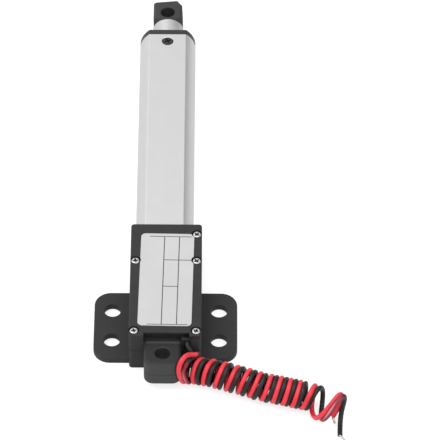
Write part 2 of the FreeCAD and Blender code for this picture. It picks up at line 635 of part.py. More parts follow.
# ================================================================ free leads
# short runs from the grommet down into the coil, then the coil's outer shape,
# then the two tails with their stripped ends
out_y = HOUSING_Y0 - 0.25
black_entry = [(LEAD_X, out_y, LEAD_BLACK_Z), (LEAD_X, 2.2, LEAD_BLACK_Z),
               (7.22, 1.0, 9.3), (8.15, 0.45, 8.0)]
red_entry = [(LEAD_X, out_y, LEAD_RED_Z), (LEAD_X, 2.85, LEAD_RED_Z),
             (6.95, 2.0, 8.2), (7.45, 1.55, 6.9)]
coil_route = [(6.55, -0.45, 4.2), (37.0, -9.3, 4.2), (46.3, -13.2, 4.2)]
black_tail = [(46.25, -13.5, 1.5), (47.0, -15.4, 1.0), (47.35, -20.6, 0.7)]
red_tail = [(44.75, -13.8, 0.95), (45.2, -15.5, 0.7)]
add("black_lead_entry", tube_along(black_entry, LEAD_D / 2, "black_lead_entry"))
add("red_lead_entry", tube_along(red_entry, LEAD_D / 2, "red_lead_entry"))
add("lead_coil", tube_along(coil_route, COIL_R, "lead_coil"))
add("black_lead_tail", tube_along(black_tail, LEAD_D / 2, "black_lead_tail"))
add("red_lead_tail", tube_along(red_tail, LEAD_D / 2, "red_lead_tail"))


def tip(tail, length, r):
    a, b = V(*tail[-2]), V(*tail[-1])
    d = b - a
    d.normalize()
    return Part.makeCylinder(r, length, b, d)


add("black_lead_tip", tip(black_tail, 1.9, 0.3))
add("red_lead_tip", tip(red_tail, 1.6, 0.3))

# ================================================================ write
print("arc radii", RADII)
os.makedirs("parts", exist_ok=True)
for name, shape in PARTS.items():
    bad = [s for s in shape.Solids if not s.isValid()]
    if bad or not shape.Solids:
        print("CHECK", name, "solids", len(shape.Solids), "invalid", len(bad))
    shape.exportStep("parts/" + name + ".step")
print(len(PARTS), "nodes,", sum(len(s.Solids) for s in PARTS.values()), "solids")
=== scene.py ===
"""A slim in-line electric linear actuator, retracted, with two leads wound in a loose coil.
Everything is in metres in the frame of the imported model."""
import math

import bpy
import bmesh
from mathutils import Matrix, Vector


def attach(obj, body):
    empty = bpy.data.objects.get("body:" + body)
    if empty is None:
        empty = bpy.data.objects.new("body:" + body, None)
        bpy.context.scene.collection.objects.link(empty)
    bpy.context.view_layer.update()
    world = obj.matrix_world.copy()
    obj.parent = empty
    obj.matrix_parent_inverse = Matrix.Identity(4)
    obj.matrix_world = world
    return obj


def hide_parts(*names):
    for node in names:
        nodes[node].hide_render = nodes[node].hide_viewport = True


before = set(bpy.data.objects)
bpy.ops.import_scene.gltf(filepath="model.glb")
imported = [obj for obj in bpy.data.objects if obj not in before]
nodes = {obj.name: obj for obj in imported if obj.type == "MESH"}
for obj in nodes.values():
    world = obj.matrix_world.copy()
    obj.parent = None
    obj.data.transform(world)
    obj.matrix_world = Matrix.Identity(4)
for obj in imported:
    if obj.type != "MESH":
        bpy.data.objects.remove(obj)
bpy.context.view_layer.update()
MM = 0.001

# ---------------------------------------------------------------- camera
# a long lens looking down at 46 degrees, square frame
AZ, EL, ROLL = math.radians(-0.142), math.radians(46.142), math.radians(0.442)
CAM_AT = Vector((12.6905, -747.2767, 821.0152)) * MM
back = Vector((math.sin(AZ) * math.cos(EL), -math.cos(AZ) * math.cos(EL), math.sin(EL)))
right = (-back).cross(Vector((0, 0, 1))).normalized()
up = right.cross(-back)
cam_x = right * math.cos(ROLL) + up * math.sin(ROLL)
cam_y = up * math.cos(ROLL) - right * math.sin(ROLL)
camera = bpy.data.cameras.new("camera")
camera.sensor_fit = "HORIZONTAL"
camera.sensor_width = 36.0
camera.lens = 4082.46 / 440 * 36.0
camera.clip_start, camera.clip_end = 0.05, 20.0
cam = bpy.data.objects.new("camera", camera)
cam.matrix_world = Matrix((
    (cam_x.x, cam_y.x, back.x, CAM_AT.x),
    (cam_x.y, cam_y.y, back.y, CAM_AT.y),
    (cam_x.z, cam_y.z, back.z, CAM_AT.z),
    (0, 0, 0, 1)))
bpy.context.scene.collection.objects.link(cam)
bpy.context.scene.camera = cam

# ---------------------------------------------------------------- the leads
LEAD_D = 1.35
# control points in millimetres: out of the notch, down beside the rear eye, round the large
# first loop, thirteen loose turns and the tail
RED_LEAD = [
    (6.02,-13.95,8.80), (6.39,-14.36,8.46), (6.74,-14.61,7.78), (6.83,-14.63,6.80), (6.68,-14.65,5.56),
    (6.43,-14.93,4.12), (6.19,-15.53,2.67), (5.99,-16.45,1.50), (5.80,-17.66,0.86), (5.57,-19.00,0.83), (5.12,-20.23,1.61),
    (4.53,-21.15,3.18), (4.09,-21.72,5.18), (3.83,-22.08,7.07), (3.76,-22.24,8.65), (3.93,-22.03,9.93), (4.36,-21.37,10.87),
    (5.02,-20.38,11.34), (5.85,-19.35,11.30), (6.74,-18.50,10.75), (7.60,-17.72,9.78), (8.35,-16.60,8.67), (8.79,-15.22,7.38),
    (8.86,-14.46,5.68), (8.86,-14.52,3.92), (8.89,-15.19,2.42), (8.88,-16.28,1.34), (8.73,-17.56,0.76), (8.44,-18.82,0.73),
    (8.07,-19.89,1.20), (7.74,-20.65,2.07), (7.53,-21.00,3.21), (7.50,-20.92,4.44), (7.64,-20.44,5.62), (7.96,-19.68,6.59),
    (8.43,-18.76,7.24), (9.01,-17.85,7.49), (9.65,-17.06,7.27), (10.29,-16.46,6.54), (10.81,-16.13,5.39), (11.16,-16.14,4.03),
    (11.34,-16.56,2.73), (11.33,-17.33,1.68), (11.16,-18.35,1.03), (10.89,-19.45,0.88), (10.62,-20.49,1.25), (10.43,-21.29,2.09),
    (10.34,-21.73,3.25), (10.40,-21.72,4.54), (10.63,-21.28,5.74), (11.03,-20.47,6.68), (11.59,-19.41,7.19), (12.21,-18.27,7.21),
    (12.83,-17.23,6.74), (13.37,-16.45,5.84), (13.76,-16.07,4.66), (13.98,-16.16,3.38), (14.04,-16.70,2.19), (13.95,-17.65,1.27),
    (13.77,-18.86,0.77), (13.58,-20.16,0.77), (13.45,-21.37,1.26), (13.43,-22.31,2.17), (13.56,-22.84,3.36), (13.85,-22.90,4.66),
    (14.26,-22.47,5.86), (14.76,-21.64,6.78), (15.27,-20.53,7.29), (15.77,-19.33,7.30), (16.21,-18.23,6.81), (16.55,-17.40,5.89),
    (16.76,-16.99,4.69), (16.84,-17.05,3.39), (16.82,-17.60,2.19), (16.71,-18.56,1.26), (16.57,-19.79,0.76), (16.45,-21.11,0.74),
    (16.41,-22.34,1.22), (16.48,-23.29,2.13), (16.69,-23.85,3.32), (17.04,-23.93,4.61), (17.49,-23.53,5.82), (18.01,-22.72,6.75),
    (18.54,-21.64,7.26), (19.05,-20.45,7.26), (19.48,-19.35,6.77), (19.80,-18.51,5.86), (19.99,-18.09,4.66), (20.05,-18.15,3.36),
    (20.01,-18.70,2.17), (19.90,-19.65,1.25), (19.76,-20.88,0.76), (19.64,-22.20,0.76), (19.60,-23.43,1.26), (19.68,-24.39,2.18),
    (19.91,-24.94,3.37), (20.27,-25.01,4.66), (20.72,-24.60,5.86), (21.26,-23.79,6.77), (21.81,-22.71,7.26), (22.33,-21.53,7.26),
    (22.74,-20.45,6.76), (23.03,-19.62,5.83), (23.17,-19.20,4.62), (23.18,-19.26,3.32), (23.07,-19.80,2.12), (22.89,-20.76,1.22),
    (22.69,-22.01,0.75), (22.56,-23.37,0.79), (22.57,-24.64,1.32), (22.71,-25.63,2.25), (23.02,-26.19,3.42), (23.44,-26.27,4.68),
    (23.93,-25.87,5.85), (24.45,-25.04,6.76), (24.95,-23.93,7.24), (25.38,-22.72,7.23), (25.70,-21.58,6.72), (25.91,-20.72,5.78),
    (26.01,-20.26,4.56), (26.00,-20.31,3.27), (25.89,-20.88,2.11), (25.73,-21.92,1.28), (25.63,-23.27,0.91), (25.66,-24.72,1.04),
    (25.81,-26.03,1.60), (26.04,-26.99,2.49), (26.34,-27.47,3.60), (26.71,-27.43,4.79), (27.14,-26.92,5.91), (27.57,-26.02,6.77),
    (27.97,-24.85,7.23), (28.33,-23.59,7.21), (28.61,-22.43,6.69), (28.80,-21.54,5.74), (28.90,-21.07,4.51), (28.91,-21.12,3.21),
    (28.82,-21.71,2.07), (28.67,-22.78,1.28), (28.59,-24.17,0.98), (28.62,-25.66,1.17), (28.75,-26.98,1.78), (28.94,-27.93,2.69),
    (29.20,-28.37,3.80), (29.52,-28.28,4.98), (29.89,-27.71,6.07), (30.29,-26.76,6.90), (30.67,-25.55,7.32), (31.00,-24.26,7.26),
    (31.27,-23.08,6.72), (31.43,-22.23,5.79), (31.48,-21.85,4.64), (31.44,-22.02,3.46), (31.38,-22.73,2.44), (31.33,-23.86,1.73),
    (31.29,-25.26,1.42), (31.29,-26.71,1.56), (31.37,-27.98,2.10), (31.59,-28.84,2.91), (31.89,-29.19,3.93), (32.22,-29.03,5.03),
    (32.58,-28.41,6.08), (32.96,-27.44,6.88), (33.31,-26.24,7.32), (33.59,-24.98,7.28), (33.80,-23.82,6.75), (33.91,-22.94,5.80),
    (33.93,-22.49,4.57), (33.86,-22.54,3.27), (33.74,-23.12,2.10), (33.61,-24.17,1.27), (33.55,-25.52,0.90), (33.65,-26.98,1.04),
    (33.84,-28.32,1.63), (34.09,-29.31,2.58), (34.41,-29.80,3.73), (34.76,-29.73,4.92), (35.15,-29.13,5.98), (35.57,-28.15,6.78),
    (35.93,-26.94,7.21), (36.19,-25.67,7.19), (36.34,-24.51,6.70), (36.40,-23.65,5.78), (36.36,-23.20,4.58), (36.27,-23.25,3.28),
    (36.17,-23.80,2.09), (36.10,-24.79,1.20), (36.09,-26.08,0.75), (36.18,-27.50,0.82), (36.38,-28.84,1.41), (36.69,-29.89,2.43),
    (37.10,-30.49,3.70), (37.59,-30.56,5.05), (38.10,-30.15,6.29), (38.66,-29.39,7.23), (39.21,-28.36,7.76), (39.70,-27.22,7.77),
    (40.08,-26.16,7.23), (40.27,-25.36,6.24), (40.23,-25.00,4.94), (39.98,-25.21,3.53), (39.63,-26.00,2.24), (39.37,-27.29,1.26),
    (39.33,-28.95,0.77), (39.56,-30.74,0.86), (40.01,-32.40,1.52), (40.59,-33.69,2.67), (41.29,-34.44,4.09), (42.15,-34.61,5.52),
    (43.21,-34.18,6.78), (44.44,-33.11,7.93), (45.40,-32.00,8.60), (46.15,-31.10,8.90), (46.78,-30.40,8.60), (47.18,-29.95,7.80),
    (47.27,-29.80,6.90), (47.31,-29.71,5.83), (47.07,-29.80,4.53), (46.59,-30.06,3.28), (45.99,-30.45,2.18), (45.40,-30.93,1.31),
    (44.86,-31.49,0.72),
]
BLACK_LEAD = [
    (6.02,-13.95,10.25), (6.04,-14.73,10.24), (6.42,-15.57,9.78), (6.84,-16.00,8.98), (7.16,-15.93,7.69), (7.44,-15.72,5.99),
    (7.63,-15.63,4.16), (7.64,-15.96,2.53), (7.44,-16.83,1.37), (7.13,-18.08,0.83), (6.77,-19.39,1.02), (6.42,-20.47,1.73),
    (5.91,-21.04,3.04), (5.32,-21.05,4.56), (4.95,-20.65,5.90), (5.20,-19.92,6.97), (5.92,-18.95,7.73), (6.75,-17.95,8.05),
    (7.65,-17.14,7.76), (8.58,-16.49,6.94), (9.43,-15.73,5.87), (10.04,-15.29,4.49), (10.32,-15.57,2.93), (10.28,-16.53,1.52),
    (10.03,-17.82,0.72), (9.69,-19.10,0.72), (9.31,-20.19,1.17), (8.97,-20.96,2.08), (8.76,-21.34,3.21), (8.72,-21.27,4.44),
    (8.87,-20.81,5.61), (9.20,-20.07,6.59), (9.67,-19.19,7.27), (10.28,-18.29,7.52), (10.95,-17.49,7.27), (11.61,-16.82,6.47),
    (12.15,-16.38,5.22), (12.51,-16.27,3.75), (12.67,-16.60,2.36), (12.66,-17.35,1.29), (12.50,-18.41,0.72), (12.25,-19.60,0.72),
    (11.99,-20.71,1.15), (11.80,-21.57,2.06), (11.73,-22.04,3.24), (11.81,-22.05,4.52), (12.08,-21.61,5.70), (12.51,-20.81,6.60),
    (13.08,-19.77,7.10), (13.71,-18.65,7.12), (14.31,-17.62,6.66), (14.82,-16.86,5.78), (15.18,-16.49,4.62), (15.36,-16.57,3.36),
    (15.36,-17.11,2.18), (15.23,-18.03,1.26), (15.02,-19.22,0.76), (14.81,-20.51,0.74), (14.68,-21.72,1.22), (14.66,-22.66,2.13),
    (14.80,-23.22,3.33), (15.10,-23.30,4.63), (15.53,-22.90,5.85), (16.03,-22.08,6.78), (16.54,-20.98,7.30), (17.03,-19.79,7.31),
    (17.46,-18.68,6.82), (17.80,-17.85,5.90), (18.00,-17.43,4.69), (18.08,-17.49,3.39), (18.05,-18.04,2.18), (17.94,-19.01,1.26),
    (17.81,-20.25,0.76), (17.69,-21.60,0.77), (17.65,-22.85,1.27), (17.71,-23.84,2.20), (17.91,-24.40,3.41), (18.24,-24.48,4.71),
    (18.70,-24.07,5.89), (19.25,-23.24,6.80), (19.82,-22.15,7.29), (20.37,-20.96,7.28), (20.83,-19.87,6.79), (21.17,-19.05,5.87),
    (21.36,-18.63,4.67), (21.40,-18.70,3.37), (21.32,-19.24,2.17), (21.16,-20.19,1.25), (21.00,-21.42,0.75), (20.87,-22.75,0.75),
    (20.82,-24.00,1.25), (20.89,-24.98,2.18), (21.10,-25.55,3.40), (21.48,-25.64,4.71), (21.99,-25.24,5.90), (22.58,-24.43,6.81),
    (23.17,-23.35,7.30), (23.70,-22.17,7.29), (24.12,-21.08,6.79), (24.38,-20.26,5.87), (24.47,-19.84,4.67), (24.41,-19.90,3.38),
    (24.24,-20.44,2.18), (24.05,-21.39,1.26), (23.89,-22.61,0.75), (23.79,-23.94,0.72), (23.78,-25.19,1.21), (23.91,-26.20,2.14),
    (24.20,-26.80,3.38), (24.64,-26.92,4.70), (25.19,-26.54,5.90), (25.76,-25.73,6.81), (26.30,-24.60,7.29), (26.73,-23.37,7.27),
    (27.03,-22.22,6.77), (27.18,-21.35,5.86), (27.19,-20.90,4.68), (27.11,-20.95,3.41), (27.02,-21.48,2.22), (26.95,-22.41,1.29),
    (26.89,-23.59,0.73), (26.87,-24.86,0.72), (26.96,-26.07,1.08), (27.20,-27.05,2.00), (27.59,-27.65,3.24), (28.07,-27.77,4.59),
    (28.57,-27.36,5.81), (29.04,-26.50,6.73), (29.43,-25.33,7.22), (29.74,-24.07,7.23), (29.96,-22.93,6.75), (30.05,-22.08,5.87),
    (30.04,-21.66,4.71), (29.99,-21.73,3.45), (29.94,-22.28,2.27), (29.91,-23.20,1.33), (29.84,-24.35,0.76), (29.78,-25.58,0.72),
    (29.84,-26.73,1.04), (30.05,-27.65,1.92), (30.34,-28.22,3.17), (30.72,-28.34,4.56), (31.16,-27.97,5.85), (31.61,-27.14,6.81),
    (32.03,-25.99,7.29), (32.36,-24.69,7.24), (32.58,-23.48,6.67), (32.69,-22.54,5.68), (32.73,-22.04,4.43), (32.70,-22.07,3.11),
    (32.57,-22.64,1.96), (32.42,-23.66,1.12), (32.30,-24.92,0.72), (32.27,-26.21,0.72), (32.37,-27.34,1.04), (32.60,-28.20,1.85),
    (32.92,-28.70,3.04), (33.32,-28.80,4.39), (33.79,-28.44,5.68), (34.24,-27.67,6.69), (34.63,-26.59,7.25), (34.92,-25.38,7.28),
    (35.10,-24.25,6.80), (35.16,-23.39,5.89), (35.12,-22.96,4.70), (35.02,-23.03,3.43), (34.91,-23.58,2.25), (34.84,-24.51,1.32),
    (34.82,-25.69,0.76), (34.85,-26.94,0.72), (34.97,-28.08,1.02), (35.20,-29.00,1.89), (35.55,-29.59,3.15), (35.98,-29.75,4.57),
    (36.39,-29.42,5.92), (36.74,-28.61,6.93), (37.08,-27.46,7.43), (37.38,-26.18,7.36), (37.60,-25.00,6.77), (37.73,-24.12,5.77),
    (37.78,-23.68,4.53), (37.76,-23.75,3.23), (37.70,-24.32,2.06), (37.61,-25.29,1.19), (37.55,-26.49,0.72), (37.55,-27.74,0.72),
    (37.65,-28.86,1.15), (37.87,-29.69,1.98), (38.20,-30.14,3.09), (38.61,-30.16,4.35), (39.14,-29.73,5.58), (39.79,-28.96,6.56),
    (40.49,-28.03,7.12), (41.12,-27.12,7.16), (41.63,-26.37,6.68), (42.00,-25.86,5.79), (42.22,-25.68,4.63), (42.29,-25.94,3.36),
    (42.22,-26.71,2.17), (42.06,-27.95,1.24), (41.88,-29.54,0.74), (41.78,-31.26,0.77), (41.87,-32.87,1.40), (42.22,-34.14,2.56),
    (42.78,-34.95,4.05), (43.47,-35.27,5.59), (44.28,-34.98,7.01), (45.43,-33.83,8.37), (46.30,-32.80,8.93), (47.00,-32.00,9.20),
    (47.55,-31.40,8.95), (47.85,-31.05,8.25), (47.92,-30.93,7.25), (47.78,-30.90,5.95), (47.58,-30.94,4.69), (47.30,-31.23,3.26),
    (47.07,-31.89,2.10), (46.91,-32.98,1.29), (46.81,-34.43,0.83), (46.75,-36.14,0.72), (46.72,-38.01,0.72),
]


def link(obj):
    bpy.context.scene.collection.objects.link(obj)
    return obj


def spline_object(name, runs, radius, sides=4, resolution=8):
    """One curve object of open quadratic splines, in millimetres."""
    cu = bpy.data.curves.new(name, "CURVE")
    cu.dimensions = "3D"
    for pts in runs:
        sp = cu.splines.new("NURBS")
        sp.points.add(len(pts) - 1)
        for p, q in zip(sp.points, pts):
            p.co = (q[0] * MM, q[1] * MM, q[2] * MM, 1.0)
        sp.order_u = 3
        sp.use_endpoint_u = True
        sp.use_smooth = True
    cu.resolution_u = resolution
    cu.bevel_depth = radius * MM
    cu.bevel_resolution = sides
    cu.use_fill_caps = True
    return link(bpy.data.objects.new(name, cu))


red_lead = spline_object("red_lead", [RED_LEAD], LEAD_D / 2, sides=6, resolution=10)
black_lead = spline_object("black_lead", [BLACK_LEAD], LEAD_D / 2, sides=6, resolution=10)


def strands(name, end, way, length, count=7, spread=0.10):
    """Bare strands at a stripped end: a short twisted bundle that opens a little at its tip."""
    end, way = Vector(end), Vector(way).normalized()
    side = way.cross(Vector((0, 0, 1))).normalized()
    rise = side.cross(way).normalized()
    runs = []
    for k in range(count):
        a0 = 2 * math.pi * k / (count - 1)
        r0 = 0.0 if k == count - 1 else 0.19
        run = []
        for i in range(7):
            t = i / 6
            a = a0 + 2.2 * t
            r = r0 * (1 + spread * 9 * max(0.0, t - 0.55) ** 2 * (1 + 0.6 * math.sin(5 * k + 1)))
            q = end + way * (length * t * (1 - 0.03 * ((k * 5) % 4)) - 0.5) \
                + side * (r * math.cos(a)) + rise * (r * math.sin(a))
            q.z = max(q.z - 0.22 * t, 0.14)
            run.append(tuple(q))
        runs.append(run)
    return spline_object(name, runs, 0.095, sides=2, resolution=4)


red_strands = strands("red_strands", RED_LEAD[-1], (0.55, -1.9, -0.05), 2.7)
black_strands = strands("black_strands", BLACK_LEAD[-1], (1.25, -1.35, -0.05), 2.9)

# ---------------------------------------------------------------- materials


def new_mat(name):
    m = bpy.data.materials.new(name)
    m.use_nodes = True
    nt = m.node_tree
    return m, nt, nt.nodes["Principled BSDF"]


def millimetres(nt, scale=(1, 1, 1), turn=(0, 0, 0)):
    tc = nt.nodes.new("ShaderNodeTexCoord")
    mp = nt.nodes.new("ShaderNodeMapping")
    mp.inputs["Scale"].default_value = tuple(1000 * s for s in scale)
    mp.inputs["Rotation"].default_value = turn
    nt.links.new(tc.outputs["Object"], mp.inputs["Vector"])
    return mp.outputs["Vector"]


def noise(nt, vector, scale, detail=2.0, rough=0.5):
    n = nt.nodes.new("ShaderNodeTexNoise")
    n.inputs["Scale"].default_value = scale
    n.inputs["Detail"].default_value = detail
    n.inputs["Roughness"].default_value = rough
    nt.links.new(vector, n.inputs["Vector"])
    return n.outputs["Fac"]


def ramp(nt, fac, stops):
    r = nt.nodes.new("ShaderNodeValToRGB")
    el = r.color_ramp.elements
    while len(el) < len(stops):
        el.new(0.5)
    for e, (pos, col) in zip(el, stops):
        e.position = pos
        e.color = (*col, 1)
    nt.links.new(fac, r.inputs["Fac"])
    return r.outputs["Color"]


def spread(nt, fac, lo, hi, frm=(0.3, 0.7)):
    m = nt.nodes.new("ShaderNodeMapRange")
    m.inputs["From Min"].default_value, m.inputs["From Max"].default_value = frm
    m.inputs["To Min"].default_value, m.inputs["To Max"].default_value = lo, hi
    nt.links.new(fac, m.inputs["Value"])
    return m.outputs["Result"]


def maths(nt, op, a, b=None, c=None):
    m = nt.nodes.new("ShaderNodeMath")
    m.operation = op
    for k, v in enumerate((a, b, c)):
        if v is None:
            continue
        if isinstance(v, (int, float)):
            m.inputs[k].default_value = v
        else:
            nt.links.new(v, m.inputs[k])
    return m.outputs[0]


def bump(nt, heights, bevel=None):
    """heights: (value, distance in mm, strength). The last one ends in the shader's normal."""
    normal = None
    if bevel:
        b = nt.nodes.new("ShaderNodeBevel")
        b.samples = 6
        b.inputs["Radius"].default_value = bevel * MM
        normal = b.outputs["Normal"]
    for value, distance, strength in heights:
        n = nt.nodes.new("ShaderNodeBump")
        n.inputs["Strength"].default_value = strength
        n.inputs["Distance"].default_value = distance * MM
        nt.links.new(value, n.inputs["Height"])
        if normal:
            nt.links.new(normal, n.inputs["Normal"])
        normal = n.outputs["Normal"]
    return normal


def mixed(col, by):
    return tuple(max(0.0, c * by) for c in col)


def moulded(name, colour, rough=(0.38, 0.52), grain=5.0, depth=0.012, bevel=0.12, var=0.18, level=0.3, flow=0.35):
    """Moulded plastic: fine eroded grain, slow changes of tone and gloss."""
    m, nt, b = new_mat(name)
    v = millimetres(nt)
    slow = noise(nt, v, flow, 3.0, 0.55)
    fine = noise(nt, v, grain, 3.0, 0.65)
    both = maths(nt, "MULTIPLY_ADD", fine, 0.35, slow)
    nt.links.new(ramp(nt, both, [(0.35, mixed(colour, 1 - var)), (0.9, mixed(colour, 1 + var))]), b.inputs["Base Color"])
    nt.links.new(spread(nt, both, rough[0], rough[1], (0.4, 0.9)), b.inputs["Roughness"])
    b.inputs["Specular IOR Level"].default_value = level
    nt.links.new(bump(nt, [(fine, depth, 0.5)], bevel), b.inputs["Normal"])
    return m


def metal(name, colour, rough=(0.28, 0.4), stretch=(1, 1, 1), grain=6.0, depth=0.004, bevel=0.06, metallic=1.0, var=0.06,
          strength=0.35):
    """Worked metal: the grain runs along the axis with the smallest stretch."""
    m, nt, b = new_mat(name)
    v = millimetres(nt, stretch)
    lines = noise(nt, v, grain, 3.0, 0.6)
    slow = noise(nt, millimetres(nt), 0.25, 2.0, 0.5)
    both = maths(nt, "MULTIPLY_ADD", lines, 0.5, maths(nt, "MULTIPLY", slow, 0.5))
    nt.links.new(ramp(nt, both, [(0.3, mixed(colour, 1 - var)), (0.7, mixed(colour, 1 + var))]), b.inputs["Base Color"])
    nt.links.new(spread(nt, both, rough[0], rough[1], (0.35, 0.65)), b.inputs["Roughness"])
    b.inputs["Metallic"].default_value = metallic
    nt.links.new(bump(nt, [(lines, depth, strength)], bevel), b.inputs["Normal"])
    return m


def insulation(name, colour, rough=(0.2, 0.34), var=0.16, coat=0.3, level=0.5):
    """Soft glossy insulation: slow changes of tone and a slight orange peel."""
    m, nt, b = new_mat(name)
    v = millimetres(nt)
    peel = noise(nt, v, 1.6, 3.0, 0.6)
    slow = noise(nt, v, 0.22, 2.0, 0.5)
    nt.links.new(ramp(nt, slow, [(0.3, mixed(colour, 1 - var)), (0.7, mixed(colour, 1 + var))]), b.inputs["Base Color"])
    nt.links.new(spread(nt, peel, rough[0], rough[1]), b.inputs["Roughness"])
    b.inputs["Coat Weight"].default_value = coat
    b.inputs["Coat Roughness"].default_value = 0.25
    b.inputs["Specular IOR Level"].default_value = level
    nt.links.new(bump(nt, [(peel, 0.02, 0.35)]), b.inputs["Normal"])
    return m


M = {}
M["black_shell"] = moulded("black_shell", (0.024, 0.024, 0.0245), rough=(0.5, 0.62))
M["black_bush"] = moulded("black_bush", (0.026, 0.026, 0.0265), rough=(0.38, 0.48), grain=7.0, depth=0.008, level=0.38)
M["black_eye"] = moulded("black_eye", (0.029, 0.029, 0.0295), rough=(0.42, 0.54), grain=6.0, depth=0.01, level=0.36)
M["rear_eye"] = moulded("rear_eye", (0.022, 0.022, 0.0225), rough=(0.52, 0.62), grain=6.0, depth=0.01, level=0.5)
M["black_rubber"] = moulded("black_rubber", (0.013, 0.013, 0.013), rough=(0.65, 0.8), grain=9.0, depth=0.01, level=0.2)
M["plated_screw"] = metal("plated_screw", (0.70, 0.70, 0.71), rough=(0.24, 0.36), grain=5.0)
M["black_oxide"] = metal("black_oxide", (0.045, 0.045, 0.047), rough=(0.34, 0.46), metallic=0.6)
M["anodised_tube"] = metal("anodised_tube", (0.69, 0.69, 0.695), rough=(0.42, 0.5), stretch=(4.0, 0.05, 4.0), grain=1.4,
                           depth=0.003, strength=0.25, var=0.015, bevel=0.1)
M["rod_metal"] = metal("rod_metal", (0.64, 0.64, 0.645), rough=(0.56, 0.64), stretch=(0.3, 3.4, 0.3), grain=1.6, depth=0.014,
                       var=0.09, strength=0.7)
M["bearing_steel"] = metal("bearing_steel", (0.66, 0.67, 0.69), rough=(0.12, 0.2), stretch=(0.5, 6.0, 0.5), grain=3.0)
M["motor_steel"] = metal("motor_steel", (0.70, 0.70, 0.71), rough=(0.26, 0.36), stretch=(3.0, 0.3, 3.0), grain=2.0)
M["motor_plastic"] = moulded("motor_plastic", (0.72, 0.70, 0.64), rough=(0.4, 0.5), var=0.05)
M["brass"] = metal("brass", (0.78, 0.57, 0.26), rough=(0.24, 0.34), stretch=(0.6, 4.0, 0.6), grain=3.0)
M["copper"] = metal("copper", (0.78, 0.36, 0.20), rough=(0.26, 0.36), stretch=(1.0, 5.0, 1.0), grain=3.0, depth=0.02,
                    strength=0.6, var=0.14)
M["magnet"] = metal("magnet", (0.13, 0.13, 0.14), rough=(0.5, 0.62), metallic=0.7, grain=8.0, depth=0.01, var=0.2)
M["laminations"] = metal("laminations", (0.34, 0.34, 0.35), rough=(0.4, 0.5), stretch=(0.1, 9.0, 0.1), grain=2.0,
                         depth=0.03, strength=0.7, var=0.2)
M["board"] = moulded("board", (0.03, 0.16, 0.06), rough=(0.3, 0.4), grain=3.0, var=0.2)
M["switch_body"] = moulded("switch_body", (0.04, 0.04, 0.042), rough=(0.42, 0.5))
M["white_guide"] = moulded("white_guide", (0.74, 0.74, 0.72), rough=(0.36, 0.46), var=0.04)
M["red_insulation"] = insulation("red_insulation", (0.77, 0.034, 0.054), rough=(0.3, 0.42), coat=0.0, level=0.45)
M["black_insulation"] = insulation("black_insulation", (0.012, 0.012, 0.0125), rough=(0.3, 0.42), coat=0.0, level=0.36)
M["tinned_strand"] = metal("tinned_strand", (0.62, 0.62, 0.63), rough=(0.24, 0.36), grain=4.0, bevel=None)


def label_film():
    """Satin film with thin printed rules: two long lines, two cross lines and a line at each end."""
    m, nt, b = new_mat("label_film")
    tc = nt.nodes.new("ShaderNodeTexCoord")
    mp = nt.nodes.new("ShaderNodeMapping")
    mp.vector_type = "TEXTURE"
    mp.inputs["Location"].default_value = (0.10 * MM, 6.80 * MM, 0)
    mp.inputs["Rotation"].default_value = (0, 0, math.radians(-0.95))
    mp.inputs["Scale"].default_value = (MM, MM, MM)
    nt.links.new(tc.outputs["Object"], mp.inputs["Vector"])
    sep = nt.nodes.new("ShaderNodeSeparateXYZ")
    nt.links.new(mp.outputs["Vector"], sep.inputs["Vector"])
    x, y = sep.outputs["X"], sep.outputs["Y"]

    def between(value, lo, hi):
        mid, half = (lo + hi) / 2, (hi - lo) / 2
        return maths(nt, "LESS_THAN", maths(nt, "ABSOLUTE", maths(nt, "SUBTRACT", value, mid)), half)

    w = 0.125
    rules = [(-4.85, 6.6, 15.95 - w, 15.95 + w), (-4.8, 6.2, -16.55 - w, -16.55 + w),
             (-0.84 - w, -0.84 + w, -16.6, 16.0), (3.23 - w, 3.23 + w, -16.6, 16.0),
             (-0.9, 7.25, 7.2 - w, 7.2 + w), (-0.9, 3.3, -2.6 - w, -2.6 + w)]
    mask = None
    for x0, x1, y0, y1 in rules:
        one = maths(nt, "MULTIPLY", between(x, x0, x1), between(y, y0, y1))
        mask = one if mask is None else maths(nt, "MAXIMUM", mask, one)
    v = millimetres(nt)
    fibre = noise(nt, v, 3.0, 4.0, 0.6)
    slow = noise(nt, v, 0.12, 2.0, 0.5)
    paper = ramp(nt, maths(nt, "MULTIPLY_ADD", fibre, 0.3, maths(nt, "MULTIPLY", slow, 0.7)),
                 [(0.35, (0.505, 0.505, 0.508)), (0.65, (0.535, 0.535, 0.536))])
    mix = nt.nodes.new("ShaderNodeMix")
    mix.data_type = "RGBA"
    nt.links.new(mask, mix.inputs["Factor"])
    nt.links.new(paper, mix.inputs["A"])
    mix.inputs["B"].default_value = (0.045, 0.045, 0.05, 1)
    nt.links.new(mix.outputs["Result"], b.inputs["Base Color"])
    nt.links.new(spread(nt, fibre, 0.36, 0.48), b.inputs["Roughness"])
    nt.links.new(bump(nt, [(fibre, 0.006, 0.4)], 0.05), b.inputs["Normal"])
    return m


M["label_film"] = label_film()

